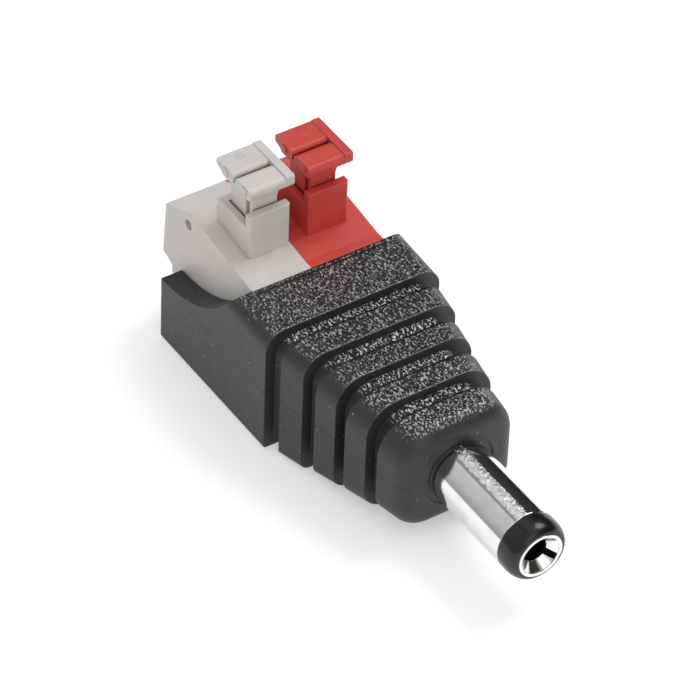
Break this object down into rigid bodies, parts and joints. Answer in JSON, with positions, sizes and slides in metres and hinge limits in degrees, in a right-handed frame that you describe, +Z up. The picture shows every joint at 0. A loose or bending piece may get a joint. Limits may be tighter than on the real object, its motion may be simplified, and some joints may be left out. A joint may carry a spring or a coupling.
{
  "type": "dc barrel plug",
  "caption": "Barrel plug with a ribbed black housing, a plated hollow barrel and a grey and a red push-button wire terminal.",
  "frame": {"origin": "on the barrel's axis, in the plane of the housing's front shoulder", "axes": "+X along the barrel towards its tip, +Y from the negative to the positive terminal, +Z up, the way the buttons stand"},
  "size_m": [0.0458, 0.0166, 0.0195],
  "materials": {
    "housing": "fine spark-eroded grain",
    "negative_plastic": "satin",
    "positive_plastic": "satin",
    "barrel": "bright nickel plating",
    "nose_ring": "gloss",
    "contact_metal": "tin plating",
    "insulation": "matte",
    "lug": "satin",
    "spring_steel": "satin",
    "wire": "bare copper",
    "solder": "dull"
  },
  "bodies": {
    "plug": {"lower_shell": "housing", "upper_shell": "housing", "barrel_sleeve": "barrel", "nose_insulator": "nose_ring", "centre_contact": "contact_metal", "rear_washer": "insulation", "sleeve_lug": "lug", "centre_lug": "lug", "end_plate": "positive_plastic", "negative_terminal_body": "negative_plastic", "negative_contact": "contact_metal", "negative_clamp_spring": "spring_steel", "negative_link": "wire", "negative_solder": "solder", "positive_terminal_body": "positive_plastic", "positive_contact": "contact_metal", "positive_clamp_spring": "spring_steel", "positive_link": "wire", "positive_solder": "solder"},
    "negative_button": {"negative_button": "negative_plastic"},
    "positive_button": {"positive_button": "positive_plastic"}
  },
  "joints": [
    {"name": "negative_button_press", "type": "slide", "parent": "plug", "child": "negative_button", "axis": [0, 0, -1], "range_m": [0, 0.0012], "stiffness_N_per_m": 4000, "springref_m": -0.0006, "deforming": ["negative_clamp_spring"]},
    {"name": "positive_button_press", "type": "slide", "parent": "plug", "child": "positive_button", "axis": [0, 0, -1], "range_m": [0, 0.0012], "stiffness_N_per_m": 4000, "springref_m": -0.0006, "deforming": ["positive_clamp_spring"]}
  ]
}
